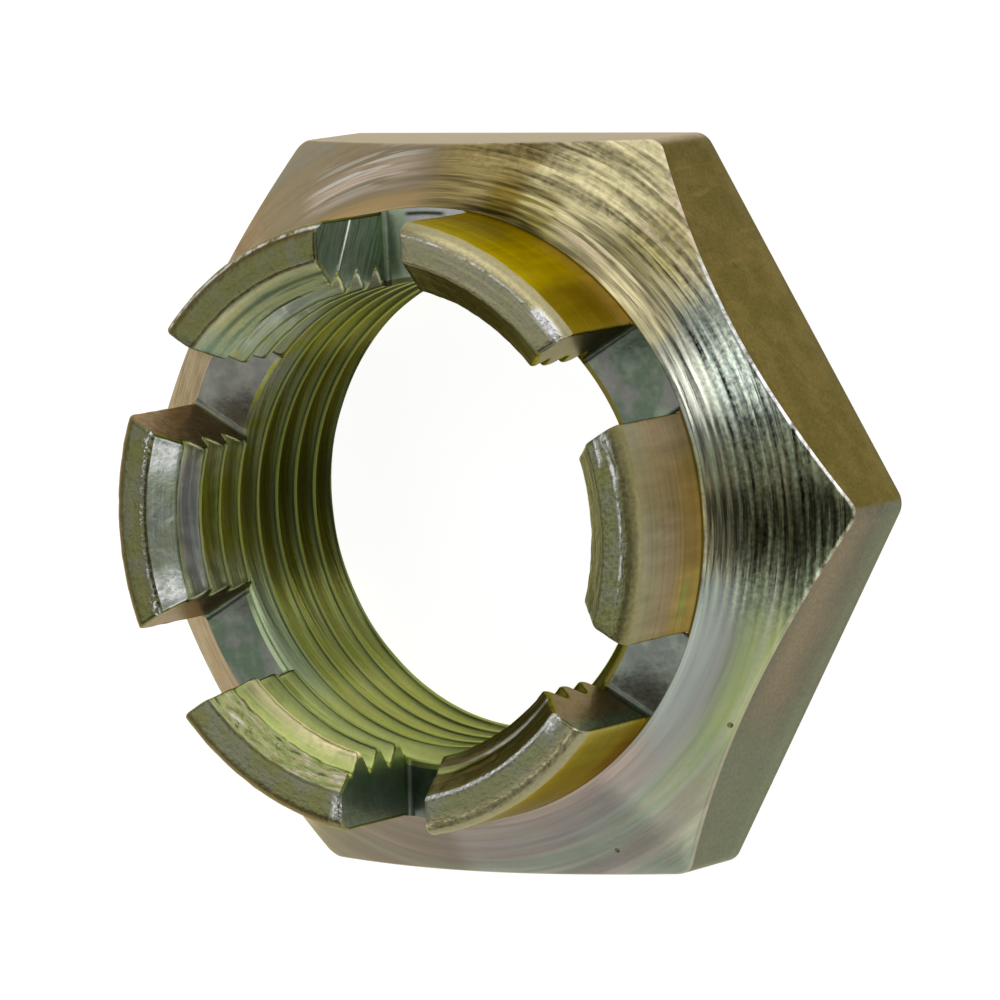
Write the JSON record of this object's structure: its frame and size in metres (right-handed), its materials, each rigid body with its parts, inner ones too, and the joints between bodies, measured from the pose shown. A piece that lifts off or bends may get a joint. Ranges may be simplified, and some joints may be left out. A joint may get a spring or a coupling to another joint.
{
  "type": "castellated spindle nut",
  "caption": "Low hexagon nut for a threaded axle spindle, with a slotted collar that a split pin locks.",
  "frame": {"origin": "centre of the bearing face, on the thread axis", "axes": "+Z along the thread from the bearing face to the prongs, X across the corners, Y across two wrench flats and along one pair of slots"},
  "size_m": [0.0366, 0.032, 0.014],
  "materials": {
    "zinc_plated_steel": "yellow chromated zinc plate over turned and milled steel"
  },
  "bodies": {
    "root": {"spindle_nut": "zinc_plated_steel"}
  },
  "joints": []
}
